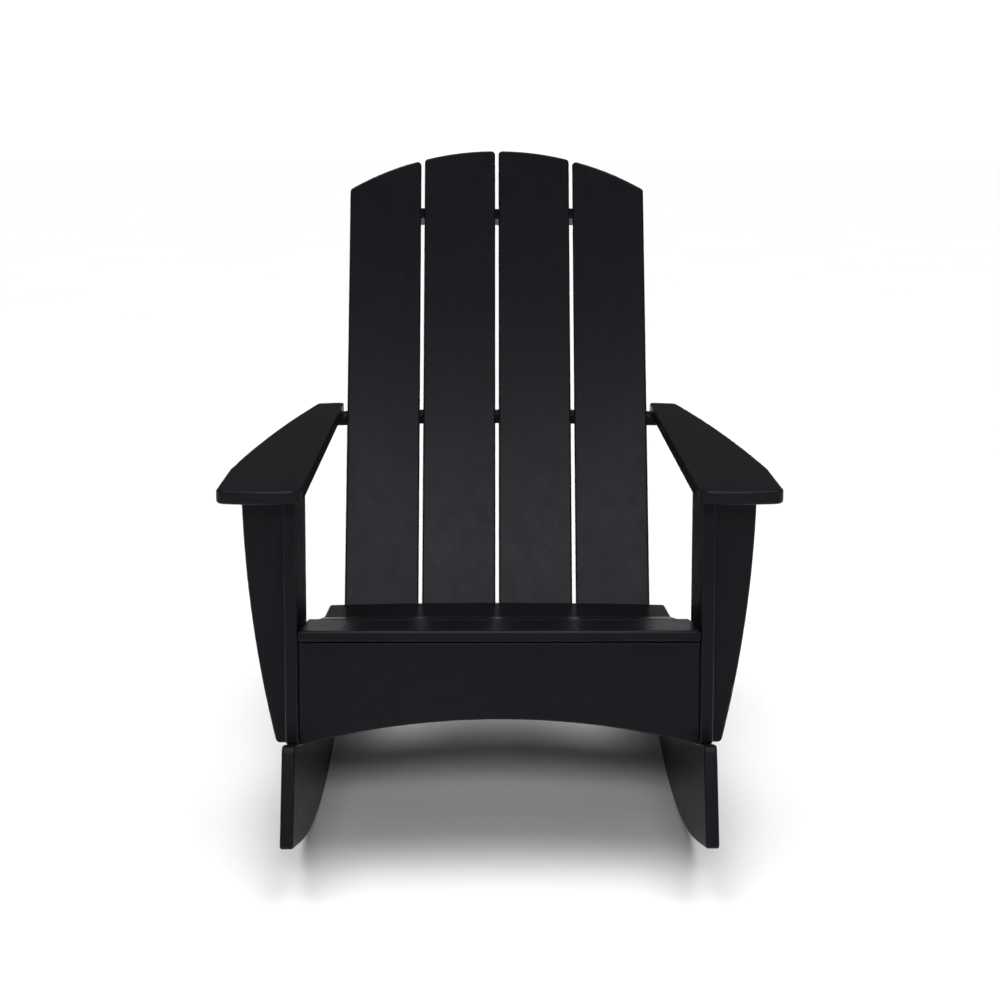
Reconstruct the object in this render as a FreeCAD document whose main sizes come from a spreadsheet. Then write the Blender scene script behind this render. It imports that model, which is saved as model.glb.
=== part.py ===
import FreeCAD, Part
import Sketcher
import math
import os

# Rocking adirondack chair, built from flat boards.
# Frame: +Z up, -Y is the front of the chair (the side the sitter faces),
# +X is to the right seen from the front.  The origin is the middle of the
# bounding box on the floor.  All lengths are millimetres.
#
# Side-view coordinates in this file (the "leg frame") count z upwards from the
# floor and y backwards from the front edge of the front legs, which lean back
# a little, at the height leg_level.

os.makedirs("parts", exist_ok=True)
doc = FreeCAD.newDocument("rocking_chair")
V = FreeCAD.Vector

# ---------------------------------------------------------------- dimensions
sheet = doc.addObject("Spreadsheet::Sheet", "Dims")
DIMS = [
    # boards
    ("board_thick", 19.05),      # every board but the seat slats
    ("round_over", 3.2),         # rounded long edges of every board
    ("slat_width", 127.0),       # back slats
    ("slat_gap", 7.0),           # gap between back slats
    ("origin_back", 337.52),     # leg front edge to the origin, in y
    # runners
    ("runner_radius", 1075.0),   # rolling edge
    ("runner_height", 142.5),    # width of the curved board
    ("runner_centre", 357.1),    # y of the arc's centre, above the floor contact
    ("nose_turn", 19.9),         # where the arc runs out, degrees before the contact
    ("nose_run", 102.0),         # straight front end beyond it, cut off square
    ("tail_angle", 22.8),        # rear end, degrees behind the contact
    # front legs
    ("leg_inner", 288.4),        # inner face to the middle plane
    ("leg_depth", 120.65),
    ("leg_lean", 4.5),           # degrees backwards from upright
    ("leg_level", 390.0),        # height at which the front edge is at y = 0
    ("arm_under", 584.65),       # underside of the armrests
    # armrests
    ("arm_inner", 270.5),
    ("arm_outer", 389.4),
    ("arm_front", 66.0),         # overhang in front of the legs, at the corner
    ("arm_rear", 611.0),
    ("arm_rear_outer", 316.0),
    # arm brackets
    ("bracket_y", 43.0),
    ("bracket_top", 370.2),
    ("bracket_foot", 328.1),
    ("bracket_low", 196.5),
    ("bracket_curve", 1835.0),
    ("cleat_high", 38.1),
    ("cleat_out", 355.0),
    # apron, leaning like the legs: heights are measured along its face
    ("apron_half", 287.9),
    ("apron_y", 1.5),            # set back from the legs' front edges
    ("apron_top", 367.0),
    ("apron_end", 215.3),
    ("apron_arch", 253.0),
    # seat
    ("seat_thick", 15.9),
    ("seat_half", 286.5),
    ("seat_board", 120.65),
    ("batten_high", 25.4),
    # back
    ("back_lean", 19.5),         # degrees from upright
    ("back_y", 590.0),           # front face in the middle, at height back_z
    ("back_z", 585.0),
    ("back_sag", 18.0),          # how far the outer edges come forward
    ("back_top_radius", 489.2),  # the arched top, about a point on the back
    ("back_top_centre", -5.6),
    ("back_low", -405.0),        # lower slat ends, along the back
    ("bar_depth", 50.8),
    ("arm_bar_depth", 41.0),
    ("arm_bar_half", 306.0),
    ("upper_bar_half", 252.0),
    ("upper_bar", 362.0),        # lower face of the upper bar, along the back
    ("lower_bar", -371.0),
    # fasteners
    ("screw_shank", 4.8),
    ("screw_head", 9.6),
    ("bolt_shank", 8.0),
    ("bolt_head", 18.0),
    ("bolt_head_high", 4.4),
    ("washer_wide", 16.0),
    ("washer_thick", 1.6),
    ("nut_wide", 13.0),
    ("nut_high", 7.5),
]
for row, (alias, value) in enumerate(DIMS, start=1):
    sheet.set("A%d" % row, alias)
    sheet.set("B%d" % row, repr(value))
    sheet.setAlias("B%d" % row, alias)
doc.recompute()


def dim(alias):
    return float(sheet.get(alias))


T = dim("board_thick")
TS = dim("seat_thick")
YO = dim("origin_back")
LEAN = math.radians(dim("back_lean"))
SIN, COS, TAN = math.sin(LEAN), math.cos(LEAN), math.tan(LEAN)

NODES = []        # the objects that are written, in order


# ------------------------------------------------------------------- helpers
def plane(body, role):
    for feature in body.Origin.OriginFeatures:
        if feature.Role == role:
            return feature
    raise RuntimeError("no origin plane " + role)


def value_of(item):
    """A coordinate is a number, or the name of a cell, with an optional sign."""
    if isinstance(item, str):
        return -dim(item[1:]) if item.startswith("-") else dim(item)
    return float(item)


def expression_of(item):
    if isinstance(item, str):
        return "-Dims." + item[1:] if item.startswith("-") else "Dims." + item
    return None


def outline(sketch, points):
    """Closed outline.  Each point is (x, y) or (x, y, mid, radius): the edge
    that starts there is then an arc through mid, with that radius."""
    count = len(points)
    xy = [(value_of(p[0]), value_of(p[1])) for p in points]
    for i, p in enumerate(points):
        a = V(xy[i][0], xy[i][1], 0)
        b = V(xy[(i + 1) % count][0], xy[(i + 1) % count][1], 0)
        if len(p) > 2:
            arc = Part.Arc(a, V(p[2][0], p[2][1], 0), b)
            sketch.addGeometry(arc, False)
        else:
            sketch.addGeometry(Part.LineSegment(a, b), False)

    # vertex numbers of each edge's start and end, in drawing order
    ends = []
    for i in range(count):
        near = (sketch.getPoint(i, 1) - V(xy[i][0], xy[i][1], 0)).Length < 1e-3
        ends.append((1, 2) if near else (2, 1))
    for i in range(count):
        j = (i + 1) % count
        sketch.addConstraint(Sketcher.Constraint(
            "Coincident", i, ends[i][1], j, ends[j][0]))
    for i, p in enumerate(points):
        vertex = ends[i][0]
        for axis, item in (("DistanceX", p[0]), ("DistanceY", p[1])):
            value = value_of(item)
            if abs(value) < 1e-9:
                sketch.addConstraint(Sketcher.Constraint(
                    "PointOnObject", i, vertex, -2 if axis == "DistanceX" else -1))
                continue
            index = sketch.addConstraint(Sketcher.Constraint(
                axis, -1, 1, i, vertex, value))
            if expression_of(item):
                sketch.setExpression("Constraints[%d]" % index, expression_of(item))
        if len(p) > 3:
            index = sketch.addConstraint(Sketcher.Constraint(
                "Radius", i, value_of(p[3])))
            if expression_of(p[3]):
                sketch.setExpression("Constraints[%d]" % index, expression_of(p[3]))


def flat_faces(shape, axis):
    """Names of the plane faces whose normal is along the axis."""
    names = []
    for k, face in enumerate(shape.Faces, start=1):
        if face.Surface.TypeId == "Part::GeomPlane":
            n = face.normalAt(0, 0)
            if abs(abs(n.dot(axis)) - 1) < 1e-6 and face.Area > 200:
                names.append("Face%d" % k)
    return names


def edges_at(shape, axis, spots, tol=1.0):
    """Names of the straight edges along the axis that pass a spot."""
    names = []
    for k, edge in enumerate(shape.Edges, start=1):
        if edge.Curve.TypeId != "Part::GeomLine":
            continue
        a, b = edge.Vertexes[0].Point, edge.Vertexes[-1].Point
        d = b - a
        if d.Length < 1e-6 or abs(abs(d.dot(axis)) / d.Length - 1) > 1e-6:
            continue
        for spot in spots:
            away = V(*spot) - a
            away = away - axis * away.dot(axis)
            if away.Length < tol:
                names.append("Edge%d" % k)
                break
    return names


def fillet(body, feature, names, radius, name):
    if not names:
        raise RuntimeError("nothing to round on " + name)
    f = body.newObject("PartDesign::Fillet", name)
    f.Base = (feature, names)
    if isinstance(radius, str):
        f.Radius = dim(radius)
        f.setExpression("Radius", "Dims." + radius)
    else:
        f.Radius = radius
    doc.recompute()
    return f


PLANES = {
    # role: (axis along which the board is padded, padded the other way)
    "YZ_Plane": (V(1, 0, 0), False),
    "XZ_Plane": (V(0, 1, 0), True),
    "XY_Plane": (V(0, 0, 1), False),
}


def board(name, role, points, corners=(), place=None, thick="board_thick"):
    """A board cut to an outline and padded by its thickness.  Corners is a list
    of (radius, [spots]) rounded before the long edges are."""
    body = doc.addObject("PartDesign::Body", name + "_board")
    sketch = body.newObject("Sketcher::SketchObject", name + "_outline")
    sketch.AttachmentSupport = (plane(body, role), [""])
    sketch.MapMode = "FlatFace"
    doc.recompute()
    outline(sketch, points)
    doc.recompute()
    pad = body.newObject("PartDesign::Pad", name + "_pad")
    pad.Profile = sketch
    pad.Length = dim(thick)
    pad.setExpression("Length", "Dims." + thick)
    axis, back = PLANES[role]
    pad.Reversed = back
    doc.recompute()
    feature = pad
    for k, (radius, spots) in enumerate(corners):
        names = edges_at(feature.Shape, axis, spots)
        feature = fillet(body, feature, names, radius, "%s_corner_%d" % (name, k + 1))
    feature = fillet(body, feature, flat_faces(feature.Shape, axis), "round_over",
                     name + "_round_over")
    body.Tip = feature
    if place is not None:
        body.Placement = place
    doc.recompute()
    if not body.Shape.isValid():
        raise RuntimeError("bad board: " + name)
    return body


def side_x(side, inner):
    """x of a side board's lower-x face, for the right (1) or left (-1) side."""
    return inner if side > 0 else -inner - T


# ---------------------------------------------------------------- the runners
RC, RO = dim("runner_centre"), dim("runner_radius")
RI = RO - dim("runner_height")


def on_arc(radius, degrees_back):
    """Point of a circle about the runner centre, degrees behind the contact."""
    a = math.radians(degrees_back)
    return RC + radius * math.sin(a), RO - radius * math.cos(a)


def runner_top(y):
    """Height of the curved part of the runner's upper edge."""
    return RO - math.sqrt(RI * RI - (y - RC) ** 2)


tail = dim("tail_angle")
p_tail_low, p_tail_high = on_arc(RO, tail), on_arc(RI, tail)
sheet_row = len(DIMS)


def cell(alias, formula):
    """A derived dimension, as a formula of the others."""
    global sheet_row
    sheet_row += 1
    sheet.set("A%d" % sheet_row, alias)
    sheet.set("B%d" % sheet_row, formula)
    sheet.setAlias("B%d" % sheet_row, alias)
    doc.recompute()
    return alias


cell("runner_inner_radius", "=runner_radius - runner_height")
cell("turn_low_y", "=runner_centre - runner_radius * sin(nose_turn * 1 deg)")
cell("turn_low_z", "=runner_radius - runner_radius * cos(nose_turn * 1 deg)")
cell("turn_high_y", "=runner_centre - runner_inner_radius * sin(nose_turn * 1 deg)")
cell("turn_high_z", "=runner_radius - runner_inner_radius * cos(nose_turn * 1 deg)")
cell("nose_low_y", "=turn_low_y - nose_run * cos(nose_turn * 1 deg)")
cell("nose_low_z", "=turn_low_z + nose_run * sin(nose_turn * 1 deg)")
cell("nose_high_y", "=nose_low_y + runner_height * sin(nose_turn * 1 deg)")
cell("nose_high_z", "=nose_low_z + runner_height * cos(nose_turn * 1 deg)")
cell("tail_low_y", "=runner_centre + runner_radius * sin(tail_angle * 1 deg)")
cell("tail_low_z", "=runner_radius - runner_radius * cos(tail_angle * 1 deg)")
cell("tail_high_y", "=runner_centre + runner_inner_radius * sin(tail_angle * 1 deg)")
cell("tail_high_z", "=runner_radius - runner_inner_radius * cos(tail_angle * 1 deg)")

BOARDS = {}       # label: the finished board, before its holes

for side, word in ((-1, "left"), (1, "right")):
    BOARDS[word + "_rocker"] = board(
        word + "_rocker", "YZ_Plane",
        [("nose_low_y", "nose_low_z"),
         ("turn_low_y", "turn_low_z", (RC, 0.0), "runner_radius"),
         ("tail_low_y", "tail_low_z"),
         ("tail_high_y", "tail_high_z", (RC, RO - RI), "runner_inner_radius"),
         ("turn_high_y", "turn_high_z"),
         ("nose_high_y", "nose_high_z")],
        corners=[(6.0, [(0, dim("nose_low_y"), dim("nose_low_z"))]),
                 (10.0, [(0, dim("nose_high_y"), dim("nose_high_z"))]),
                 (28.0, [(0,) + p_tail_low]), (64.0, [(0,) + p_tail_high])],
        place=FreeCAD.Placement(V(side_x(side, dim("leg_inner")), -YO, 0),
                                FreeCAD.Rotation()))

# -------------------------------------------------------------- the front legs
# The lower end of each leg is cut to the runner's upper edge and stands on it,
# partly on the straight front end and partly on the arc.
cell("lean_slope", "=tan(leg_lean * 1 deg)")
cell("nose_slope", "=tan(nose_turn * 1 deg)")
cell("leg_run", "=leg_depth / cos(leg_lean * 1 deg)")
cell("leg_front_z", "=(turn_high_z + (turn_high_y + leg_level * lean_slope) * nose_slope)"
                    " / (1 + lean_slope * nose_slope)")
cell("leg_front_y", "=(leg_front_z - leg_level) * lean_slope")
cell("rear_reach", "=leg_run - leg_level * lean_slope - runner_centre")
cell("rear_rise", "=runner_radius - lean_slope * rear_reach")
cell("leg_rear_z", "=(rear_rise - sqrt(rear_rise ^ 2 - (1 + lean_slope ^ 2) * (rear_reach ^ 2"
                   " + runner_radius ^ 2 - runner_inner_radius ^ 2))) / (1 + lean_slope ^ 2)")
cell("leg_rear_y", "=leg_run + (leg_rear_z - leg_level) * lean_slope")
cell("leg_front_top", "=(arm_under - leg_level) * lean_slope")
cell("leg_rear_top", "=leg_run + leg_front_top")
LEG_SLOPE, LEG_COS = dim("lean_slope"), math.cos(math.radians(dim("leg_lean")))
leg_mid = (dim("turn_high_y") + dim("leg_rear_y")) / 2
for side, word in ((-1, "left"), (1, "right")):
    BOARDS[word + "_front_leg"] = board(
        word + "_front_leg", "YZ_Plane",
        [("leg_front_y", "leg_front_z"),
         ("turn_high_y", "turn_high_z", (leg_mid, runner_top(leg_mid)),
          "runner_inner_radius"),
         ("leg_rear_y", "leg_rear_z"),
         ("leg_rear_top", "arm_under"),
         ("leg_front_top", "arm_under")],
        corners=[(3.6, [(0, dim("leg_front_y"), dim("leg_front_z")),
                        (0, dim("leg_rear_y"), dim("leg_rear_z"))])],
        place=FreeCAD.Placement(V(side_x(side, dim("leg_inner")), -YO, 0),
                                FreeCAD.Rotation()))

# ---------------------------------------------------------- the arm brackets
# A tapering board on the outside of each leg, crosswise to it, whose outer
# edge bulges a little.  A cleat behind its top holds the armrest's screws.
cell("leg_outer", "=leg_inner + board_thick")
cell("cleat_low", "=arm_under - cleat_high")
BT, BF = dim("bracket_top"), dim("bracket_foot")
BL, AU = dim("bracket_low"), dim("arm_under")
chord = math.hypot(BT - BF, AU - BL)
rise = dim("bracket_curve") - math.sqrt(dim("bracket_curve") ** 2 - chord ** 2 / 4)
bulge = ((BT + BF) / 2 + rise * (AU - BL) / chord,
         (AU + BL) / 2 - rise * (BT - BF) / chord)
for side, word in ((-1, "left"), (1, "right")):
    sign = "" if side > 0 else "-"
    BOARDS[word + "_arm_bracket"] = board(
        word + "_arm_bracket", "XZ_Plane",
        [(sign + "leg_outer", "bracket_low"),
         (sign + "bracket_foot", "bracket_low", (side * bulge[0], bulge[1]),
          "bracket_curve"),
         (sign + "bracket_top", "arm_under"),
         (sign + "leg_outer", "arm_under")],
        corners=[(7.0, [(side * BF, 0, BL)])],
        place=FreeCAD.Placement(V(0, dim("bracket_y") - YO, 0), FreeCAD.Rotation()))
    BOARDS[word + "_arm_cleat"] = board(
        word + "_arm_cleat", "XZ_Plane",
        [(sign + "leg_outer", "cleat_low"),
         (sign + "cleat_out", "cleat_low"),
         (sign + "cleat_out", "arm_under"),
         (sign + "leg_outer", "arm_under")],
        place=FreeCAD.Placement(V(0, dim("bracket_y") + T - YO, 0), FreeCAD.Rotation()))

# --------------------------------------------------------------- the armrests
AI, AO = dim("arm_inner"), dim("arm_outer")
AF, AR, ARO = dim("arm_front"), dim("arm_rear"), dim("arm_rear_outer")
for side, word in ((-1, "left"), (1, "right")):
    sign = "" if side > 0 else "-"
    BOARDS[word + "_armrest"] = board(
        word + "_armrest", "XY_Plane",
        [(sign + "arm_inner", "-arm_front", (side * 328.0, -AF - 6.5)),
         (sign + "arm_outer", "-arm_front"),
         (sign + "arm_outer", 75.0, (side * 360.5, 339.7)),
         (sign + "arm_rear_outer", 603.0),
         (sign + "arm_inner", "arm_rear")],
        corners=[(20.0, [(side * AI, -AF, 0)]), (15.0, [(side * AO, -AF, 0)]),
                 (7.0, [(side * AI, AR, 0), (side * ARO, 603.0, 0)])],
        place=FreeCAD.Placement(V(0, -YO, AU), FreeCAD.Rotation()))

# ------------------------------------------------------------------ the apron
APRON = dim("apron_y") - dim("leg_level") * LEG_SLOPE


def apron_front(z):
    """y of the apron's front face at a height."""
    return APRON + z * LEG_SLOPE


BOARDS["front_apron"] = board(
    "front_apron", "XZ_Plane",
    [("-apron_half", "apron_top"),
     ("-apron_half", "apron_end", (0.0, dim("apron_arch"))),
     ("apron_half", "apron_end"),
     ("apron_half", "apron_top")],
    corners=[(4.0, [(-dim("apron_half"), 0, dim("apron_end")),
                    (dim("apron_half"), 0, dim("apron_end"))])],
    place=FreeCAD.Placement(V(0, APRON - YO, 0),
                            FreeCAD.Rotation(V(1, 0, 0), -dim("leg_lean"))))

# ------------------------------------------------------------------- the seat
# Four slats, scooped: (y, z) of the top front edge and the slope in degrees.
SEAT = [(-12.0, 386.5, 10.2), (112.2, 364.1, 18.2),
        (232.3, 324.7, 15.5), (354.1, 290.7, 6.2)]
SB, SH = dim("seat_board"), dim("seat_half")
for k, (y, z, slope) in enumerate(SEAT):
    rad = math.radians(slope)
    if k < 3:
        points = [("-seat_half", 0.0), ("seat_half", 0.0),
                  ("seat_half", "seat_board"), ("-seat_half", "seat_board")]
    else:
        # the rear slat's back edge is hollowed to follow the curved back
        points = [("-seat_half", 0.0), ("seat_half", 0.0),
                  ("seat_half", SB - 20.0, (0.0, SB)),
                  ("-seat_half", SB - 20.0)]
    ends = [(-SH, 0, 0), (SH, 0, 0)]
    rears = [(-SH, SB if k < 3 else SB - 20.0, 0), (SH, SB if k < 3 else SB - 20.0, 0)]
    # the slat's top face is at z; the board hangs below it
    drop = V(0, -TS * math.sin(rad), -TS * math.cos(rad))
    BOARDS["seat_slat_%d" % (k + 1)] = board(
        "seat_slat_%d" % (k + 1), "XY_Plane", points,
        corners=[(5.0, ends), (3.5, rears)],
        place=FreeCAD.Placement(V(0, y - YO, z) + drop,
                                FreeCAD.Rotation(V(1, 0, 0), -slope)),
        thick="seat_thick")


def seat_under(k):
    """Point and direction, in the side view, of the underside of slat k."""
    y, z, slope = SEAT[k]
    rad = math.radians(slope)
    return (y - TS * math.sin(rad), z - TS * math.cos(rad)), (math.cos(rad), -math.sin(rad))


def under_at(k, y):
    (y0, z0), (dy, dz) = seat_under(k)
    return z0 + (y - y0) * dz / dy


def under_meet(k):
    """Where the undersides of slat k and the next one meet."""
    (ya, za), (a, b) = seat_under(k)
    (yb, zb), (c, d) = seat_under(k + 1)
    s = ((yb - ya) * d - (zb - za) * c) / (a * d - b * c)
    return ya + s * a, za + s * b


def behind_apron(z):
    """y just behind the apron's rear face at a height."""
    return apron_front(z) + T / LEG_COS + 0.3


meets = [under_meet(k) for k in range(3)]
rail_front = behind_apron(under_at(0, 18.0))
rail_top = [(rail_front, under_at(0, rail_front))] + meets + [(486.0, under_at(3, 486.0))]
rail = rail_top + [(560.0, 232.0), (742.0, 178.0), (742.0, 116.0), (560.0, 100.0),
                   (420.0, 100.0), (300.0, 118.0), (200.0, 152.0), (100.0, 190.0),
                   (behind_apron(222.0), 222.0)]
for side, word in ((-1, "left"), (1, "right")):
    # the seat rails lie against the inside of the legs and runners
    x = side_x(side, dim("leg_inner") - T)
    BOARDS[word + "_seat_rail"] = board(
        word + "_seat_rail", "YZ_Plane", rail,
        corners=[(26.0, [(0, 742.0, 178.0), (0, 742.0, 116.0)])],
        place=FreeCAD.Placement(V(x, -YO, 0), FreeCAD.Rotation()))

# The battens carry the slats' screws, so that no screw shows on the seat.
BH = dim("batten_high")
batten_front, batten_rear = 30.0, 440.0
batten_top = [(batten_front, under_at(0, batten_front))] + meets + \
             [(batten_rear, under_at(3, batten_rear))]
batten = batten_top + [(y, z - BH) for y, z in reversed(batten_top)]
for side, word in ((-1, "left"), (1, "right")):
    x = side_x(side, dim("leg_inner") - 2 * T)
    BOARDS[word + "_seat_batten"] = board(
        word + "_seat_batten", "YZ_Plane", batten,
        place=FreeCAD.Placement(V(x, -YO, 0), FreeCAD.Rotation()))

# ------------------------------------------------------------------- the back
# Four flat slats on three bars whose front edges have one flat per slat, the
# outer flats turned inwards.  "n" counts from the front face in the middle
# towards the rear, square to the back; "s" counts up along it.
BY, BZ = dim("back_y"), dim("back_z")
SAG, HALF = dim("back_sag"), 267.0
SW, GAP = dim("slat_width"), dim("slat_gap")
UPPER_HALF = dim("upper_bar_half")
TC, TR = dim("back_top_centre"), dim("back_top_radius")


def forward(x):
    return SAG * (x / HALF) ** 2


def far_edge(x0):
    """Second edge of a slat whose first edge is at x0."""
    x1 = x0 + SW
    for _ in range(20):
        x1 = x0 + math.sqrt(SW ** 2 - (forward(x1) - forward(x0)) ** 2)
    return x1


flat_in = (GAP / 2, far_edge(GAP / 2))
flat_out = (flat_in[1] + GAP, far_edge(flat_in[1] + GAP))


def back_point(x, n, s):
    """Chair coordinates of a point given on the back."""
    return V(x, BY - YO + n * COS + s * SIN, BZ - n * SIN + s * COS)


def rear_n(x):
    """n of the slats' rear faces at x, on the flats and between them."""
    x = abs(x)
    for a, b in (flat_in, flat_out):
        if a <= x <= b:
            return T - forward(a) - (forward(b) - forward(a)) * (x - a) / (b - a)
    if x < flat_in[0]:
        return T - forward(flat_in[0])
    if x < flat_out[0]:
        a, b = flat_in[1], flat_out[0]
        return T - forward(a) - (forward(b) - forward(a)) * (x - a) / (b - a)
    a, b = flat_out
    return T - forward(a) - (forward(b) - forward(a)) * (x - a) / (b - a)


for k, (flat, mirror) in enumerate(((flat_out, -1), (flat_in, -1),
                                    (flat_in, 1), (flat_out, 1))):
    a, b = flat
    turn = math.degrees(math.asin((forward(b) - forward(a)) / SW))
    # the arched top, in the slat's own coordinates: u across, v along
    rises = []
    for u in (0.0, SW / 2, SW):
        x = a + u * (b - a) / SW
        rises.append(TC + math.sqrt(TR ** 2 - x ** 2))
    low = dim("back_low")
    if mirror > 0:
        points = [(0.0, "back_low"), ("slat_width", "back_low"),
                  ("slat_width", rises[2], (SW / 2, rises[1])), (0.0, rises[0])]
        tops = [(0.0, rises[0], 0), (SW, rises[2], 0)]
        lows = [(0.0, low, 0), (SW, low, 0)]
    else:
        points = [(0.0, "back_low"), (0.0, rises[0], (-SW / 2, rises[1])),
                  ("-slat_width", rises[2]), ("-slat_width", "back_low")]
        tops = [(0.0, rises[0], 0), (-SW, rises[2], 0)]
        lows = [(0.0, low, 0), (-SW, low, 0)]
    # board axes: x across, y up along the back, z towards the sitter
    stand = FreeCAD.Rotation(V(1, 0, 0), 90.0 - dim("back_lean"))
    yaw = FreeCAD.Rotation(V(0, 1, 0), -mirror * turn)
    rear = back_point(mirror * a, T - forward(a), 0)
    BOARDS["back_slat_%d" % (k + 1)] = board(
        "back_slat_%d" % (k + 1), "XY_Plane", points,
        corners=[(7.0, tops), (5.0, lows)],
        place=FreeCAD.Placement(rear, stand.multiply(yaw)))

flats = [-flat_out[1], -flat_out[0], -flat_in[1], -flat_in[0],
         flat_in[0], flat_in[1], flat_out[0], flat_out[1]]


def bar(name, s_low, depth, half):
    """A bar square to the back: front edge with four flats, rear edge alike."""
    front = [x for x in flats if abs(x) <= half]
    if half > flat_out[1]:
        front = [-half] + front + [half]
    n_front = [(x, rear_n(x)) for x in front]
    n_rear = [(-half, rear_n(half) + depth), (-flat_in[1], rear_n(flat_in[1]) + depth),
              (flat_in[1], rear_n(flat_in[1]) + depth), (half, rear_n(half) + depth)]
    points = [(x, n) for x, n in n_front] + [(x, n) for x, n in reversed(n_rear)]
    # board axes: x across, y rearwards (n), z up along the back (s)
    place = FreeCAD.Placement(back_point(0, 0, s_low),
                              FreeCAD.Rotation(V(1, 0, 0), -dim("back_lean")))
    return board(name, "XY_Plane", points, place=place)


BOARDS["upper_back_bar"] = bar("upper_back_bar", dim("upper_bar"), dim("bar_depth"),
                               UPPER_HALF)
BOARDS["lower_back_bar"] = bar("lower_back_bar", dim("lower_bar"), dim("bar_depth"),
                               dim("leg_inner") - T)


# The arm bar is level, under the rear ends of both armrests.  The slats lean
# against the upper edge of its front.
half = dim("arm_bar_half")
points = [(x, BY + rear_n(x) / COS + TAN * (AU - BZ)) for x in [-half] + flats + [half]]
points += [(x, BY + rear_n(x) / COS + dim("arm_bar_depth")) for x in
           (half, flat_in[1], -flat_in[1], -half)]
BOARDS["arm_bar"] = board(
    "arm_bar", "XY_Plane", points,
    place=FreeCAD.Placement(V(0, -YO, AU - T), FreeCAD.Rotation()))

# ------------------------------------------------------------- the fasteners
# One master of each kind, along +Z with its head's outer face at z = 0 and its
# point upwards, from primitives bound to the sheet; groups are placed copies.


def cylinder(name, radius, height, z=0.0):
    obj = doc.addObject("Part::Cylinder", name)
    if isinstance(radius, str):
        obj.setExpression("Radius", radius)
    else:
        obj.Radius = radius
    if isinstance(height, str):
        obj.setExpression("Height", height)
    else:
        obj.Height = height
    obj.Placement = FreeCAD.Placement(V(0, 0, z), FreeCAD.Rotation())
    return obj


def screw(name, length):
    """Countersunk wood screw with a hexagon socket."""
    head = doc.addObject("Part::Cone", name + "_head")
    head.setExpression("Radius1", "Dims.screw_head / 2")
    head.setExpression("Radius2", "Dims.screw_shank / 2")
    head.setExpression("Height", "(Dims.screw_head - Dims.screw_shank) / 2")
    shank = cylinder(name + "_shank", "Dims.screw_shank / 2", length - 3.0)
    point = doc.addObject("Part::Cone", name + "_point")
    point.setExpression("Radius1", "Dims.screw_shank / 2")
    point.Radius2 = 0.6
    point.Height = 3.0
    point.Placement = FreeCAD.Placement(V(0, 0, length - 3.0), FreeCAD.Rotation())
    whole = doc.addObject("Part::MultiFuse", name + "_solid")
    whole.Shapes = [head, shank, point]
    socket = doc.addObject("Part::Prism", name + "_socket")
    socket.Polygon = 6
    socket.Circumradius = 2.0
    socket.Height = 1.9
    done = doc.addObject("Part::Cut", name)
    done.Base, done.Tool = whole, socket
    doc.recompute()
    return done


def bolt(name, length):
    """Low round-headed bolt with a hexagon socket."""
    head = doc.addObject("Part::Cone", name + "_head")
    head.setExpression("Radius1", "Dims.bolt_head / 2 - 2.6")
    head.setExpression("Radius2", "Dims.bolt_head / 2")
    head.setExpression("Height", "Dims.bolt_head_high")
    head.Placement = FreeCAD.Placement(V(0, 0, -dim("bolt_head_high")), FreeCAD.Rotation())
    shank = cylinder(name + "_shank", "Dims.bolt_shank / 2", length)
    whole = doc.addObject("Part::Fuse", name + "_solid")
    whole.Base, whole.Tool = head, shank
    socket = doc.addObject("Part::Prism", name + "_socket")
    socket.Polygon = 6
    socket.Circumradius = 2.9
    socket.Height = 2.6
    socket.Placement = head.Placement
    done = doc.addObject("Part::Cut", name)
    done.Base, done.Tool = whole, socket
    doc.recompute()
    return done


def cap_nut(name):
    """Domed nut, closed at its outer end, threaded bore from z = 0."""
    six = doc.addObject("Part::Prism", name + "_six")
    six.Polygon = 6
    six.setExpression("Circumradius", "Dims.nut_wide / 2 / cos(30 deg)")
    six.setExpression("Height", "Dims.nut_high")
    dome = doc.addObject("Part::Sphere", name + "_dome")
    dome.setExpression("Radius", "Dims.nut_wide / 2 - 0.4")
    dome.Placement = FreeCAD.Placement(V(0, 0, dim("nut_high") - 0.6), FreeCAD.Rotation())
    whole = doc.addObject("Part::Fuse", name + "_solid")
    whole.Base, whole.Tool = six, dome
    bore = cylinder(name + "_bore", "Dims.bolt_shank / 2", 8.6)
    done = doc.addObject("Part::Cut", name)
    done.Base, done.Tool = whole, bore
    doc.recompute()
    return done


def washer(name):
    ring = cylinder(name + "_disc", "Dims.washer_wide / 2", "Dims.washer_thick")
    bore = cylinder(name + "_bore", "Dims.bolt_shank / 2", 5.0, -1.0)
    done = doc.addObject("Part::Cut", name)
    done.Base, done.Tool = ring, bore
    doc.recompute()
    return done


def aim(point, direction):
    return FreeCAD.Placement(point, FreeCAD.Rotation(V(0, 0, 1), direction))


def chair(x, y, z):
    """Chair coordinates of a point of the leg frame."""
    return V(x, y - YO, z)


DRILLS = {}       # board label: cutters of its holes
GROUPS = {}       # node label: placed copies


def drill(labels, place, radius, length, sink=None, start=0.0):
    for label in labels:
        tool = Part.makeCylinder(radius, length - start, V(0, 0, start))
        if sink:
            tool = tool.fuse(Part.makeCone(sink[0], radius, sink[1]))
        tool.Placement = place
        DRILLS.setdefault(label, []).append(tool)


def put_screw(group, master, length, point, direction, through, into):
    """The head is flush with the first board's face, the point is in the last."""
    place = aim(point, direction)
    copy = master.Shape.copy()
    copy.Placement = place
    GROUPS.setdefault(group, []).append(copy)
    r, head = dim("screw_shank") / 2, dim("screw_head") / 2
    drill([through], place, r, length + 1.0, (head, head - r))
    drill([into], place, r, length + 1.0)


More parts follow.
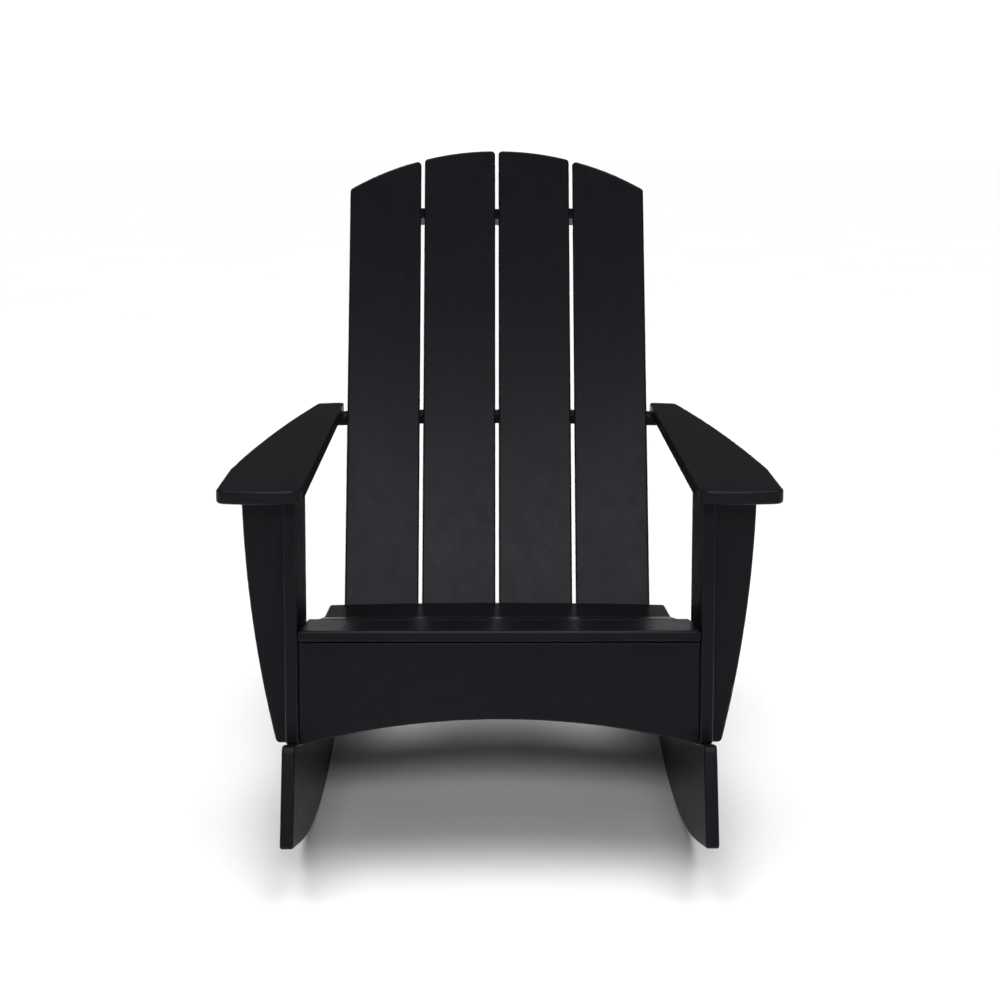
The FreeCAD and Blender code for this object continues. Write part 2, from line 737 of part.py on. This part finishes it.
screw_32 = screw("screw_32", 32.0)
screw_35 = screw("screw_35", 35.0)
screw_48 = screw("screw_48", 48.0)
screw_52 = screw("screw_52", 52.0)
screw_62 = screw("screw_62", 62.0)
bolt_48 = bolt("bolt_48", 46.5)
nut_8 = cap_nut("nut_8")
washer_8 = washer("washer_8")

LI = dim("leg_inner")
LO = LI + T
for side, word in ((-1, "left"), (1, "right")):
    inward = V(-side, 0, 0)
    # bolts through leg and rail, and through runner and rail, nuts inside
    for group, outer, spots in (
            ("leg_bolts", word + "_front_leg", ((92.0, 302.0), (84.0, 246.0))),
            ("rocker_bolts", word + "_rocker",
             ((330.0, 130.0), (470.0, 124.0), (610.0, 137.0)))):
        for y, z in spots:
            place = aim(chair(side * LO, y, z), inward)
            copy = bolt_48.Shape.copy()
            copy.Placement = place
            GROUPS.setdefault(group, []).append(copy)
            drill([outer, word + "_seat_rail"], place, dim("bolt_shank") / 2, 60.0, start=-1.0)
            inner = aim(chair(side * (LI - T), y, z), inward)
            ring = washer_8.Shape.copy()
            ring.Placement = inner
            GROUPS.setdefault("bolt_washers", []).append(ring)
            nut = nut_8.Shape.copy()
            nut.Placement = aim(chair(side * (LI - T - dim("washer_thick")), y, z), inward)
            GROUPS.setdefault("bolt_nuts", []).append(nut)
    # through the leg into the apron's end, and into the bracket's edge
    for z in (262.0, 332.0):
        put_screw("apron_screws", screw_48, 48.0,
                  chair(side * LO, apron_front(z) + T / 2 / LEG_COS, z), inward,
                  word + "_front_leg", "front_apron")
    for z in (390.0, 470.0, 550.0):
        put_screw("bracket_screws", screw_48, 48.0,
                  chair(side * LI, dim("bracket_y") + T / 2, z), V(side, 0, 0),
                  word + "_front_leg", word + "_arm_bracket")
    # up through the cleat and the end of the arm bar into the armrest
    for x in (320.0, 344.0):
        put_screw("arm_screws", screw_52, 52.0,
                  chair(side * x, dim("bracket_y") + 1.5 * T, AU - dim("cleat_high")),
                  V(0, 0, 1), word + "_arm_cleat", word + "_armrest")
    for x in (284.0, 298.0):
        put_screw("arm_screws", screw_32, 32.0, chair(side * x, 598.0, AU - T),
                  V(0, 0, 1), "arm_bar", word + "_armrest")
    # cleat to bracket, from behind
    for z in (AU - 11.0, AU - 28.0):
        put_screw("cleat_screws", screw_32, 32.0,
                  chair(side * 332.0, dim("bracket_y") + 2 * T, z), V(0, -1, 0),
                  word + "_arm_cleat", word + "_arm_bracket")
    # battens to rails, sideways
    for k, y in ((0, 54.0), (1, 172.0), (2, 290.0), (3, 398.0)):
        put_screw("batten_screws", screw_32, 32.0,
                  chair(side * (LI - 2 * T), y, under_at(k, y) - BH / 2), V(side, 0, 0),
                  word + "_seat_batten", word + "_seat_rail")
    # up through the battens into the seat slats
    for k in range(4):
        (y0, z0), (dy, dz) = seat_under(k)
        for run in ((46.0, 92.0) if k == 0 else (28.0, 92.0) if k < 3 else (24.0, 68.0)):
            up = V(0, -dz, dy)
            start = chair(side * (LI - 1.5 * T), y0 + run * dy, z0 + run * dz) - up * \
                (BH * dy)
            put_screw("seat_slat_screws", screw_35, 35.0, start, up,
                      word + "_seat_batten", "seat_slat_%d" % (k + 1))
    # through the rail into the ends of the lower back bar
    for n in (30.0, 54.0):
        spot = back_point(0, n, dim("lower_bar") + T / 2)
        put_screw("lower_bar_screws", screw_48, 48.0, V(side * LI, spot.y, spot.z), inward,
                  word + "_seat_rail", "lower_back_bar")

# from behind through the bars into the back slats, two to a slat on each bar
for k, (flat, mirror) in enumerate(((flat_out, -1), (flat_in, -1),
                                    (flat_in, 1), (flat_out, 1))):
    slat = "back_slat_%d" % (k + 1)
    middle = (flat[0] + flat[1]) / 2
    for x in (middle - 34.0, middle + 34.0):
        rear_edge = rear_n(x)
        for label, s_low in (("upper_back_bar", dim("upper_bar")),
                             ("lower_back_bar", dim("lower_bar"))):
            # the rear edge runs straight between the outer and inner flats
            half = UPPER_HALF if label == "upper_back_bar" else dim("leg_inner") - T
            if x <= flat_in[1]:
                n = rear_n(flat_in[1]) + dim("bar_depth")
            else:
                w = (x - flat_in[1]) / (half - flat_in[1])
                n = (1 - w) * rear_n(flat_in[1]) + w * rear_n(half) + dim("bar_depth")
            put_screw("back_slat_screws", screw_62, 62.0,
                      back_point(mirror * x, n, s_low + T / 2), V(0, -COS, SIN), label, slat)
        half = dim("arm_bar_half")
        if x <= flat_in[1]:
            y = BY + rear_n(flat_in[1]) / COS + dim("arm_bar_depth")
        else:
            w = (x - flat_in[1]) / (half - flat_in[1])
            y = BY + ((1 - w) * rear_n(flat_in[1]) + w * rear_n(half)) / COS + \
                dim("arm_bar_depth")
        put_screw("back_slat_screws", screw_52, 52.0, chair(mirror * x, y, AU - T / 2),
                  V(0, -1, 0), "arm_bar", slat)

# ------------------------------------------------------ holes, and the nodes
for label, base in BOARDS.items():
    if label in DRILLS:
        holes = doc.addObject("Part::Feature", label + "_holes")
        holes.Shape = Part.makeCompound(DRILLS[label])
        node = doc.addObject("Part::Cut", label + "_drilled")
        node.Base, node.Tool = base, holes
        node.Refine = False
        doc.recompute()
    else:
        node = base
    node.Label = label
    NODES.append(node)

for label, copies in GROUPS.items():
    node = doc.addObject("Part::Feature", label + "_group")
    node.Shape = Part.makeCompound(copies)
    node.Label = label
    NODES.append(node)

doc.recompute()

# ------------------------------------------------------------ check and write
for obj in doc.Objects:
    if "Invalid" in obj.State or "Error" in obj.State:
        raise RuntimeError("failed object: %s %s" % (obj.Name, obj.State))
for node in NODES:
    shape = node.Shape
    if shape.isNull() or not shape.isValid() or not shape.Solids:
        raise RuntimeError("bad shape: " + node.Label)
    if node.Label in BOARDS and len(shape.Solids) != 1:
        raise RuntimeError("%s is %d solids" % (node.Label, len(shape.Solids)))
volume = 0.0
moment = V(0, 0, 0)
low, high = V(1e9, 1e9, 1e9), V(-1e9, -1e9, -1e9)
for node in NODES:
    node.Shape.exportStep("parts/%s.step" % node.Label)
    box = node.Shape.optimalBoundingBox(True, False)
    low = V(min(low.x, box.XMin), min(low.y, box.YMin), min(low.z, box.ZMin))
    high = V(max(high.x, box.XMax), max(high.y, box.YMax), max(high.z, box.ZMax))
    heavy = 8.0 if node.Label not in BOARDS else 0.95
    for solid in node.Shape.Solids:
        volume += solid.Volume * heavy
        moment = moment + solid.CenterOfMass * (solid.Volume * heavy)
print("nodes:", len(NODES))
print("box:", [round(v, 2) for v in (low.x, low.y, low.z, high.x, high.y, high.z)])
print("mass kg: %.2f" % (volume / 1e6), "centre:", [round(v / volume, 2) for v in moment])
print("runner contact y: %.2f" % (RC - YO))
print("middle of the box in y: %.3f" % ((low.y + high.y) / 2))
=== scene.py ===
import math

import bpy
import numpy as np
from mathutils import Matrix, Vector

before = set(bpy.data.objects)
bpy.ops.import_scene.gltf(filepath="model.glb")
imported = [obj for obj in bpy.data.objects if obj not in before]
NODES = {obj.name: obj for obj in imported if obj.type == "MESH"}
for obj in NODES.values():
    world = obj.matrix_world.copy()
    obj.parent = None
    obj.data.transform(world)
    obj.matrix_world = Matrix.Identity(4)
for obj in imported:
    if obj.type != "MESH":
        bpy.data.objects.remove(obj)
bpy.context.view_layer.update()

scene = bpy.context.scene

# ------------------------------------------------------------------ the camera
# A long lens at chest height, looking slightly down at the front of the chair.
cam_data = bpy.data.cameras.new("camera")
cam = bpy.data.objects.new("camera", cam_data)
scene.collection.objects.link(cam)
cam.location = (-0.0196266, -2.5779704, 1.1198613)
cam.rotation_euler = (Matrix.Rotation(-0.00876239, 3, "Z")
                      @ Matrix.Rotation(math.pi / 2 - 0.17766272, 3, "X")
                      @ Matrix.Rotation(0.0019, 3, "Z")).to_euler()
cam_data.sensor_fit = "HORIZONTAL"
cam_data.sensor_width = 36.0
cam_data.lens = 36.0 * 1.6351355
cam_data.shift_x = 0.0
cam_data.shift_y = -0.1
cam_data.clip_start = 0.05
cam_data.clip_end = 200.0
cam_data.dof.use_dof = False
scene.camera = cam

scene.view_settings.view_transform = "Standard"
scene.view_settings.look = "None"
scene.view_settings.exposure = 0.0
scene.view_settings.gamma = 1.0


# ------------------------------------------------------------- node shorthands
class Tree:
    """Small helper that adds shader nodes and links them."""

    def __init__(self, tree):
        self.tree = tree

    def add(self, kind, **settings):
        node = self.tree.nodes.new(kind)
        for key, value in settings.items():
            setattr(node, key, value)
        return node

    def put(self, socket, value):
        if isinstance(value, bpy.types.NodeSocket):
            self.tree.links.new(value, socket)
        elif value is not None:
            socket.default_value = value

    def math(self, op, a, b=None, c=None, clamp=False):
        node = self.add("ShaderNodeMath", operation=op, use_clamp=clamp)
        for k, value in enumerate((a, b, c)):
            self.put(node.inputs[k], value)
        return node.outputs[0]

    def dot(self, a, b):
        node = self.add("ShaderNodeVectorMath", operation="DOT_PRODUCT")
        self.put(node.inputs[0], a)
        self.put(node.inputs[1], b)
        return node.outputs["Value"]

    def join(self, x, y, z):
        node = self.add("ShaderNodeCombineXYZ")
        for k, value in enumerate((x, y, z)):
            self.put(node.inputs[k], value)
        return node.outputs[0]

    def scale(self, vector, by):
        node = self.add("ShaderNodeVectorMath", operation="MULTIPLY")
        self.put(node.inputs[0], vector)
        self.put(node.inputs[1], by)
        return node.outputs[0]

    def noise(self, vector, scale, detail=2.0, rough=0.5, distort=0.0):
        node = self.add("ShaderNodeTexNoise", noise_dimensions="3D")
        self.put(node.inputs["Vector"], vector)
        self.put(node.inputs["Scale"], scale)
        self.put(node.inputs["Detail"], detail)
        self.put(node.inputs["Roughness"], rough)
        self.put(node.inputs["Distortion"], distort)
        return node.outputs["Fac"]

    def ramp(self, value, low, high, out_low=0.0, out_high=1.0, smooth=True):
        node = self.add("ShaderNodeMapRange")
        node.interpolation_type = "SMOOTHSTEP" if smooth else "LINEAR"
        node.clamp = True
        self.put(node.inputs["Value"], value)
        self.put(node.inputs["From Min"], low)
        self.put(node.inputs["From Max"], high)
        self.put(node.inputs["To Min"], out_low)
        self.put(node.inputs["To Max"], out_high)
        return node.outputs["Result"]

    def blend(self, fac, a, b):
        node = self.add("ShaderNodeMix", data_type="RGBA")
        self.put(node.inputs["Factor"], fac)
        self.put(node.inputs[6], a)
        self.put(node.inputs[7], b)
        return node.outputs[2]

    def bump(self, height, strength, distance, normal=None):
        node = self.add("ShaderNodeBump")
        self.put(node.inputs["Strength"], strength)
        self.put(node.inputs["Distance"], distance)
        self.put(node.inputs["Height"], height)
        if normal is not None:
            self.put(node.inputs["Normal"], normal)
        return node.outputs["Normal"]


def new_material(name):
    mat = bpy.data.materials.new(name)
    mat.use_nodes = True
    tree = Tree(mat.node_tree)
    mat.node_tree.nodes.clear()
    out = tree.add("ShaderNodeOutputMaterial")
    shader = tree.add("ShaderNodeBsdfPrincipled")
    mat.node_tree.links.new(shader.outputs[0], out.inputs["Surface"])
    return mat, tree, shader


# ------------------------------------------------------------- plastic lumber
def board_axes(obj):
    """Unit vectors across the board's thickness and along its length."""
    mesh = obj.data
    count = len(mesh.polygons)
    normals = np.zeros(count * 3)
    areas = np.zeros(count)
    mesh.polygons.foreach_get("normal", normals)
    mesh.polygons.foreach_get("area", areas)
    normals = normals.reshape(-1, 3)
    # the commonest direction, by area, of the faces
    keys = {}
    for n, a in zip(normals, areas):
        if n[np.argmax(np.abs(n))] < 0:
            n = -n
        key = tuple(np.round(n, 2))
        total, direction = keys.get(key, (0.0, np.zeros(3)))
        keys[key] = (total + a, direction + n * a)
    across = max(keys.values(), key=lambda pair: pair[0])[1]
    across /= np.linalg.norm(across)
    co = np.zeros(len(mesh.vertices) * 3)
    mesh.vertices.foreach_get("co", co)
    co = co.reshape(-1, 3)
    co = co - co.mean(0)
    co = co - np.outer(co @ across, across)
    along = np.linalg.svd(co, full_matrices=False)[2][0]
    # snap to an axis of the chair when it is nearly one
    for axis in np.eye(3):
        if abs(axis @ across) < 0.02 and abs(axis @ along) > 0.95:
            along = axis
    along = along - (along @ across) * across
    along /= np.linalg.norm(along)
    return Vector(across), Vector(along), Vector(np.cross(across, along))


def lumber(name, obj, seed):
    """Moulded black plastic board: a satin skin with a faint pebble and streaks
    along the board, sawn edges, and rounded corners rubbed a little brighter."""
    across, along, side = board_axes(obj)
    mat, t, shader = new_material(name)
    coord = t.add("ShaderNodeTexCoord")
    place, normal = coord.outputs["Object"], coord.outputs["Normal"]
    x, y, z = t.dot(place, along), t.dot(place, side), t.dot(place, across)
    local = t.join(t.math("ADD", x, seed * 1.37), t.math("ADD", y, seed * 0.71), z)

    flat = t.math("ABSOLUTE", t.dot(normal, across))
    face = t.ramp(flat, 0.955, 0.998)
    edge = t.ramp(flat, 0.25, 0.02)
    round_ = t.math("SUBTRACT", 1.0, t.math("ADD", face, edge), clamp=True)

    # the moulded skin: a faint pebble, longer streaks along the board, and
    # slow waves of its thickness
    pebble = t.noise(local, 520.0, 2.0, 0.6)
    streak = t.noise(t.scale(local, (14.0, 260.0, 260.0)), 1.0, 3.0, 0.55)
    cloudy = t.noise(local, 7.0, 3.0, 0.55)
    patch = t.noise(local, 34.0, 3.0, 0.6)
    saw = t.noise(t.scale(local, (60.0, 60.0, 900.0)), 1.0, 2.0, 0.5)

    # height of the surface
    grain = t.math("MULTIPLY", t.math("ADD", t.math("MULTIPLY", pebble, 0.7), streak), face)
    soft = t.math("MULTIPLY", t.math("ADD", pebble, saw), t.math("MULTIPLY", edge, 0.35))
    fine = t.bump(t.math("ADD", grain, soft), 0.35, 0.00012)
    t.put(shader.inputs["Normal"], t.bump(cloudy, 0.22, 0.0008, fine))

    # colour
    dark, light = (0.0028, 0.0031, 0.0040, 1), (0.0040, 0.0044, 0.0056, 1)
    base = t.blend(t.ramp(streak, 0.32, 0.68), dark, light)
    base = t.blend(t.ramp(cloudy, 0.3, 0.75, 0.0, 0.4), base, (0.0046, 0.0050, 0.0062, 1))
    worn = t.math("MULTIPLY", round_, t.ramp(patch, 0.42, 0.7, 0.2, 0.8))
    base = t.blend(worn, base, (0.0080, 0.0084, 0.0098, 1))
    t.put(shader.inputs["Base Color"], base)

    # roughness
    rough = t.ramp(patch, 0.25, 0.8, 0.34, 0.39, smooth=False)
    rough = t.math("ADD", rough, t.math("MULTIPLY", t.math("SUBTRACT", pebble, 0.5), 0.10))
    rough = t.math("SUBTRACT", rough, t.math("MULTIPLY", round_, 0.05))
    t.put(shader.inputs["Roughness"], rough)
    shader.inputs["Metallic"].default_value = 0.0
    shader.inputs["IOR"].default_value = 1.46
    shader.inputs["Specular IOR Level"].default_value = 0.10
    shader.inputs["Specular Tint"].default_value = (0.88, 0.94, 1.0, 1)
    return mat


def stainless(name):
    """Brushed stainless steel of bolts and screws."""
    mat, t, shader = new_material(name)
    coord = t.add("ShaderNodeTexCoord")
    place = coord.outputs["Object"]
    turned = t.noise(t.scale(place, (900.0, 5200.0, 5200.0)), 1.0, 2.0, 0.5)
    spots = t.noise(place, 260.0, 3.0, 0.6)
    base = t.blend(t.ramp(spots, 0.35, 0.7), (0.50, 0.50, 0.50, 1), (0.66, 0.65, 0.63, 1))
    t.put(shader.inputs["Base Color"], base)
    t.put(shader.inputs["Roughness"], t.ramp(turned, 0.2, 0.8, 0.24, 0.42, smooth=False))
    t.put(shader.inputs["Normal"], t.bump(turned, 0.2, 0.00005))
    shader.inputs["Metallic"].default_value = 1.0
    return mat


def blackened(name):
    """Screws with a black coating, rubbed through in spots."""
    mat, t, shader = new_material(name)
    coord = t.add("ShaderNodeTexCoord")
    spots = t.noise(coord.outputs["Object"], 900.0, 3.0, 0.6)
    t.put(shader.inputs["Base Color"],
          t.blend(t.ramp(spots, 0.62, 0.8), (0.006, 0.006, 0.007, 1), (0.06, 0.06, 0.06, 1)))
    t.put(shader.inputs["Roughness"], t.ramp(spots, 0.2, 0.8, 0.38, 0.55, smooth=False))
    t.put(shader.inputs["Normal"], t.bump(spots, 0.2, 0.00005))
    shader.inputs["Metallic"].default_value = 0.0
    shader.inputs["Specular IOR Level"].default_value = 0.2
    return mat


STEEL = ("leg_bolts", "rocker_bolts", "bolt_washers", "bolt_nuts", "apron_screws",
         "arm_screws", "cleat_screws", "batten_screws", "seat_slat_screws",
         "lower_bar_screws", "back_slat_screws")
BLACK = ("bracket_screws",)
steel = stainless("stainless")
black = blackened("black_coating")


def dress(obj, mat):
    obj.data.materials.clear()
    obj.data.materials.append(mat)


for seed, name in enumerate(sorted(NODES)):
    obj = NODES[name]
    if name in STEEL:
        dress(obj, steel)
    elif name in BLACK:
        dress(obj, black)
    else:
        dress(obj, lumber("lumber_" + name, obj, seed + 1))

# ------------------------------------------------------------------- the studio
def plane(name, size, z):
    mesh = bpy.data.meshes.new(name)
    h = size / 2
    mesh.from_pydata([(-h, -h, z), (h, -h, z), (h, h, z), (-h, h, z)], [], [(0, 1, 2, 3)])
    obj = bpy.data.objects.new(name, mesh)
    scene.collection.objects.link(obj)
    return obj


floor = plane("floor", 60.0, 0.0)
mat, t, shader = new_material("pale_floor")
coord = t.add("ShaderNodeTexCoord")
soft = t.noise(coord.outputs["Object"], 1.3, 3.0, 0.5)
t.put(shader.inputs["Base Color"],
      t.blend(soft, (0.86, 0.86, 0.86, 1), (0.90, 0.90, 0.90, 1)))
shader.inputs["Roughness"].default_value = 0.8
shader.inputs["Specular IOR Level"].default_value = 0.1
floor.data.materials.append(mat)

def aim(obj, at):
    obj.rotation_euler = (Vector(at) - obj.location).to_track_quat("-Z", "Y").to_euler()


def panel(name, place, at, size, power):
    data = bpy.data.lights.new(name, "AREA")
    data.shape = "RECTANGLE"
    data.size, data.size_y = size
    data.energy = power
    obj = bpy.data.objects.new(name, data)
    scene.collection.objects.link(obj)
    obj.location = place
    aim(obj, at)
    return obj


# White to the eye; to the chair it is a dim room with a wide lamp overhead.  The
# soft box in front stands above the camera.
world = bpy.data.worlds.new("studio")
scene.world = world
world.use_nodes = True
w = Tree(world.node_tree)
world.node_tree.nodes.clear()
out = w.add("ShaderNodeOutputWorld")
look = w.add("ShaderNodeTexCoord").outputs["Generated"]
ROOM, LAMP = 0.10, 5.5
over = w.dot(look, (0.0, -0.174, 0.985))
light = w.math("ADD", ROOM, w.ramp(over, 0.86, 0.93, 0.0, LAMP))
room = w.add("ShaderNodeBackground")
room.inputs["Color"].default_value = (1.0, 1.0, 1.0, 1)
w.put(room.inputs["Strength"], light)
white = w.add("ShaderNodeBackground")
white.inputs["Color"].default_value = (1, 1, 1, 1)
white.inputs["Strength"].default_value = 1.1
mix = w.add("ShaderNodeMixShader")
path = w.add("ShaderNodeLightPath")
world.node_tree.links.new(path.outputs["Is Camera Ray"], mix.inputs[0])
world.node_tree.links.new(room.outputs[0], mix.inputs[1])
world.node_tree.links.new(white.outputs[0], mix.inputs[2])
world.node_tree.links.new(mix.outputs[0], out.inputs[0])

panel("soft_box", (0.0, -2.5, 1.52), (0.0, 0.2, 0.45), (1.2, 0.36), 33.0)
